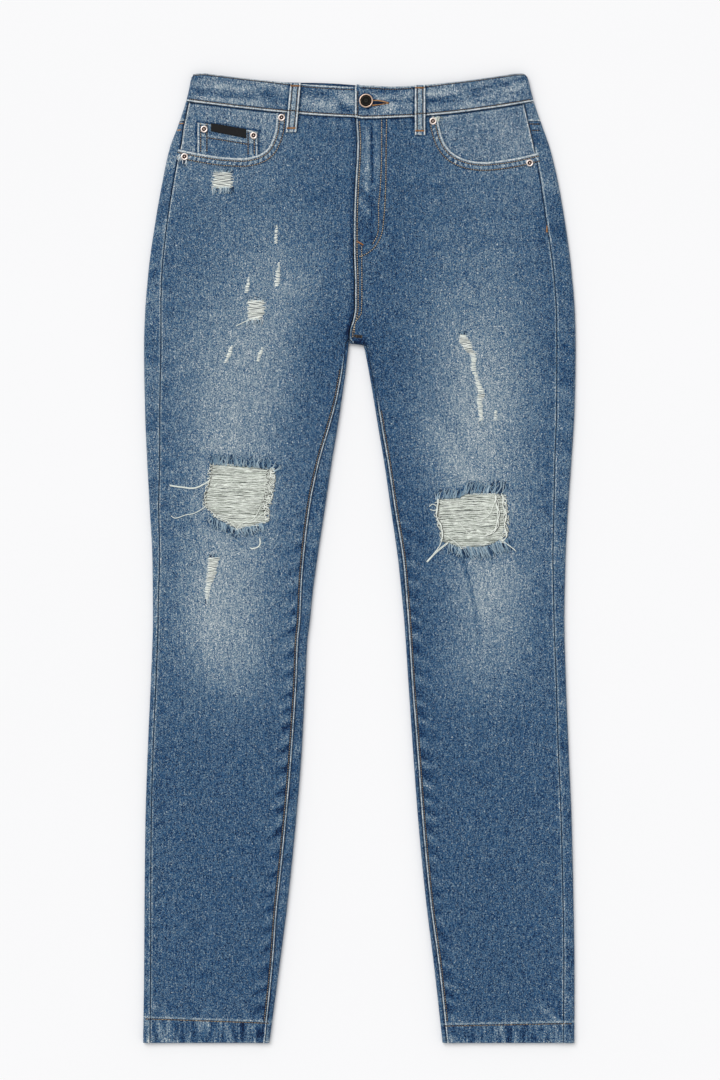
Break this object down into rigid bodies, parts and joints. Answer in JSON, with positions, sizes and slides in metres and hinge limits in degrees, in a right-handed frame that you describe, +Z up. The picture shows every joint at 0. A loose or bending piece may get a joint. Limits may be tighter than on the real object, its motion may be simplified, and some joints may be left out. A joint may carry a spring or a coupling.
{
  "type": "ripped jeans",
  "caption": "Full-length high-waisted skinny denim trousers with worn-through knees and a buttoned fly, laid flat front up.",
  "frame": {"origin": "middle of the laid-out garment's bounding box, on the surface it lies on", "axes": "+Y from the hems to the waist along the garment's length; +Z up, out of the front; +X across, to the wearer's left"},
  "size_m": [0.4764, 1.0666, 0.0127],
  "materials": {
    "denim": "washed mid-blue stretch twill, worn pale down the leg fronts",
    "facing_denim": "washed mid-blue twill, slightly finer",
    "weft_yarn": "bare off-white weft threads",
    "black_tape": "matt black woven tape",
    "copper": "worn copper plating",
    "dark_copper": "darkened, finely dented",
    "rivet_metal": "pale, rubbed, faintly pink"
  },
  "bodies": {
    "root": {"front_leg_right": "denim", "front_leg_left": "denim", "back_leg_right": "denim", "back_leg_left": "denim", "yoke_right": "denim", "yoke_left": "denim", "waistband": "denim", "belt_loop_front_right": "denim", "belt_loop_front_left": "denim", "belt_loop_back_right": "denim", "belt_loop_back_centre": "denim", "belt_loop_back_left": "denim", "coin_pocket": "denim", "back_pocket_right": "denim", "back_pocket_left": "denim", "fly_underlap": "denim", "pocket_facing_right": "facing_denim", "pocket_facing_left": "facing_denim", "knee_web_right": "weft_yarn", "knee_web_left": "weft_yarn", "coin_label": "black_tape", "button_rim": "copper", "button_core": "dark_copper", "rivet_pocket_right_top": "rivet_metal", "rivet_pocket_right_side": "rivet_metal", "rivet_pocket_left_top": "rivet_metal", "rivet_pocket_left_side": "rivet_metal", "rivet_coin_outer": "rivet_metal", "rivet_coin_inner": "rivet_metal"}
  },
  "joints": []
}
